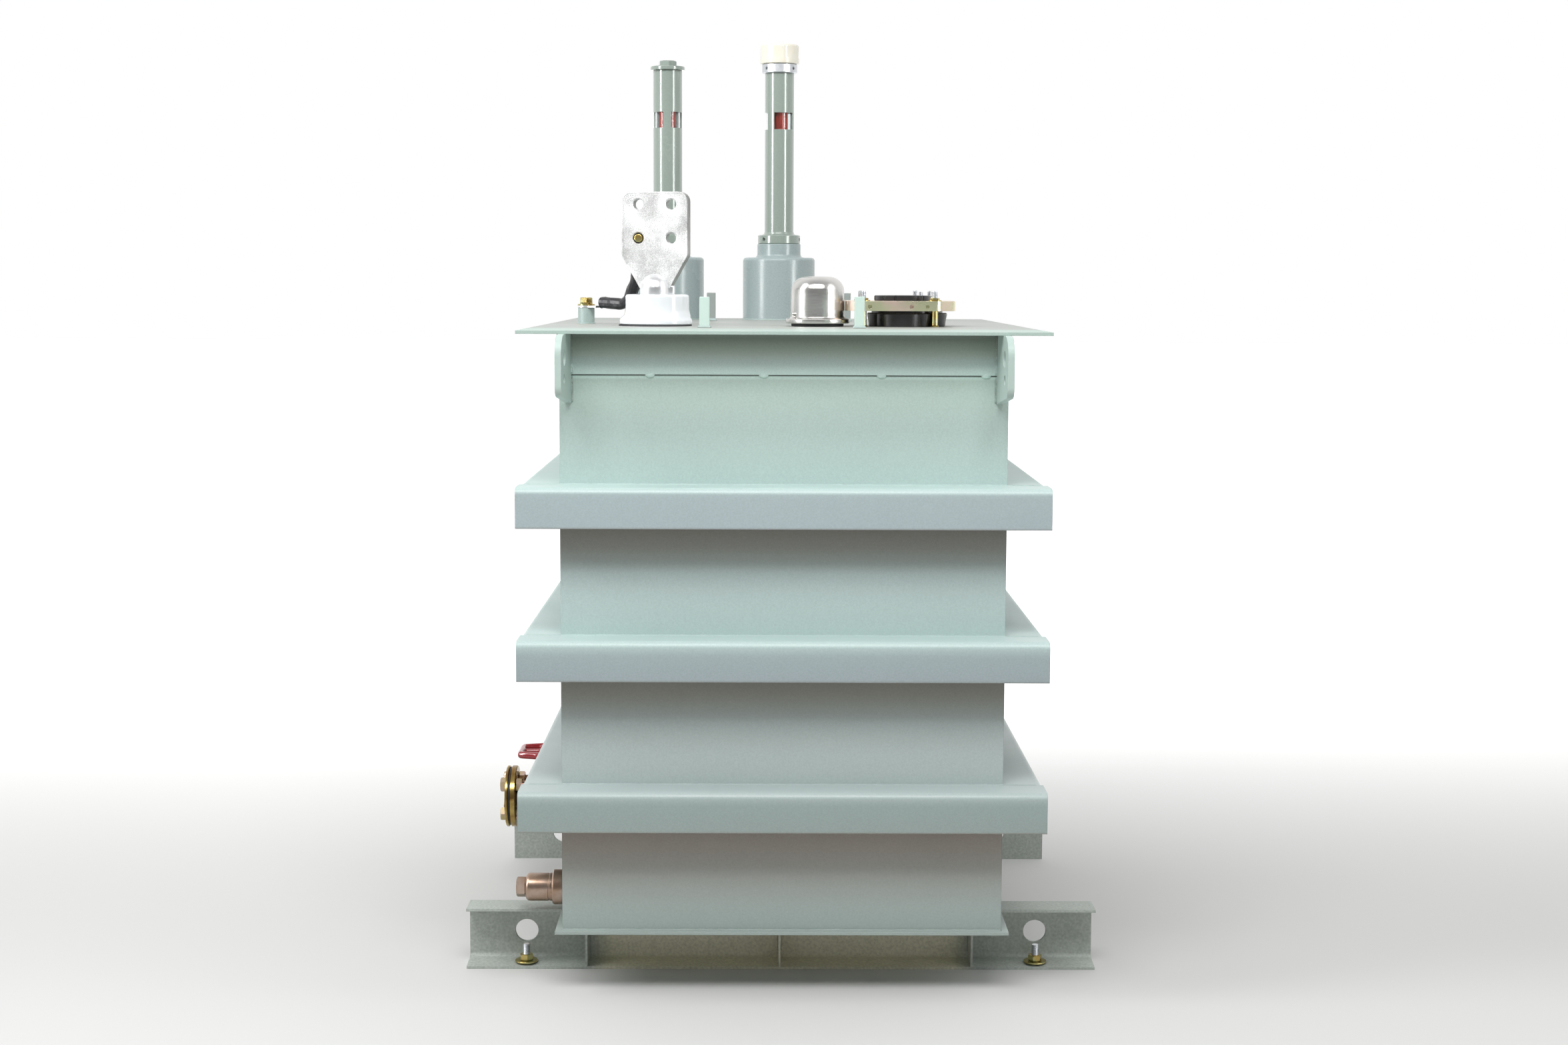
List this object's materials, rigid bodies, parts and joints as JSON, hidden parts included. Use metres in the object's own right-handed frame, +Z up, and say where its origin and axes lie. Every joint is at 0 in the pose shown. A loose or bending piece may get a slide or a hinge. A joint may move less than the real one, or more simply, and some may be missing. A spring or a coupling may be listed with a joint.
{
  "type": "power transformer",
  "caption": "Oil-immersed transformer in a welded box tank with stiffener rings, cover fittings, base channels, drain plug and a flanged drain valve whose handwheel turns.",
  "frame": {"origin": "on the ground at the centre of the base, midway between the two base channels", "axes": "+Z up, -Y towards the side with the palm bushing in front, +X to the right seen from the front"},
  "size_m": [0.82, 0.9998, 1.2565],
  "materials": {
    "tank_paint": "satin grey-green paint",
    "fitting_paint": "gloss grey-green paint",
    "yellow_zinc": "yellow passivated zinc plating",
    "plain_steel": "turned and zinc plated steel",
    "tinned_copper": "tinned copper",
    "cast_aluminium": "blasted casting",
    "spun_aluminium": "spun and brushed",
    "porcelain": "glossy white glaze",
    "gasket_rubber": "matte",
    "shrink_sleeve": "wrinkled heat-shrink sleeve",
    "black_epoxy": "moulded epoxy",
    "cream_plastic": "moulded cap",
    "red_plastic": "gloss",
    "sight_glass": "clear tube",
    "red_paint": "gloss red paint on a casting",
    "bronze": "cast bronze"
  },
  "bodies": {
    "root": {"base_channel_front": "tank_paint", "base_channel_rear": "tank_paint", "blank_flange": "yellow_zinc", "bonding_strap": "shrink_sleeve", "bottom_plate": "tank_paint", "bushing_gasket": "gasket_rubber", "bushing_porcelain": "porcelain", "channel_ribs": "tank_paint", "cover_plate": "tank_paint", "cover_posts": "tank_paint", "drain_coupling": "plain_steel", "drain_plug": "plain_steel", "earth_bolt": "yellow_zinc", "earth_boss": "tank_paint", "earth_nuts": "yellow_zinc", "earth_studs": "plain_steel", "flange_bolts": "yellow_zinc", "gauge_end_cap": "cream_plastic", "gauge_glasses": "sight_glass", "gauge_indicators": "red_plastic", "gauge_lock_ring": "plain_steel", "gauge_pedestals": "fitting_paint", "gauge_plug": "fitting_paint", "gauge_sheaths": "fitting_paint", "lifting_lugs_front": "tank_paint", "lifting_lugs_rear": "tank_paint", "lower_stiffener_front_rear": "tank_paint", "lower_stiffener_sides": "tank_paint", "middle_stiffener_front_rear": "tank_paint", "middle_stiffener_sides": "tank_paint", "outlet_flange": "yellow_zinc", "outlet_gasket": "gasket_rubber", "palm_bolt": "yellow_zinc", "relief_dome": "spun_aluminium", "relief_gasket": "gasket_rubber", "strap_lugs": "tinned_copper", "tank_front": "tank_paint", "tank_left": "tank_paint", "tank_rear": "tank_paint", "tank_right": "tank_paint", "terminal_clamp": "cast_aluminium", "terminal_palm": "cast_aluminium", "top_band_front_rear": "tank_paint", "top_band_sides": "tank_paint", "upper_stiffener_front_rear": "tank_paint", "upper_stiffener_sides": "tank_paint", "valve_body": "bronze", "valve_bonnet": "bronze", "valve_nipple": "bronze", "well_body": "black_epoxy", "well_cap": "black_epoxy", "well_clamp_plate": "yellow_zinc", "well_studs": "yellow_zinc"},
    "wheel": {"handwheel": "red_paint", "handwheel_nut": "plain_steel", "valve_stem": "plain_steel"}
  },
  "joints": [
    {"name": "wheel_turn", "type": "hinge", "parent": "root", "child": "wheel", "pos_m": [-0.343, 0.076, 0.209], "axis": [0, 0, 1], "range_deg": [0, 720]}
  ]
}
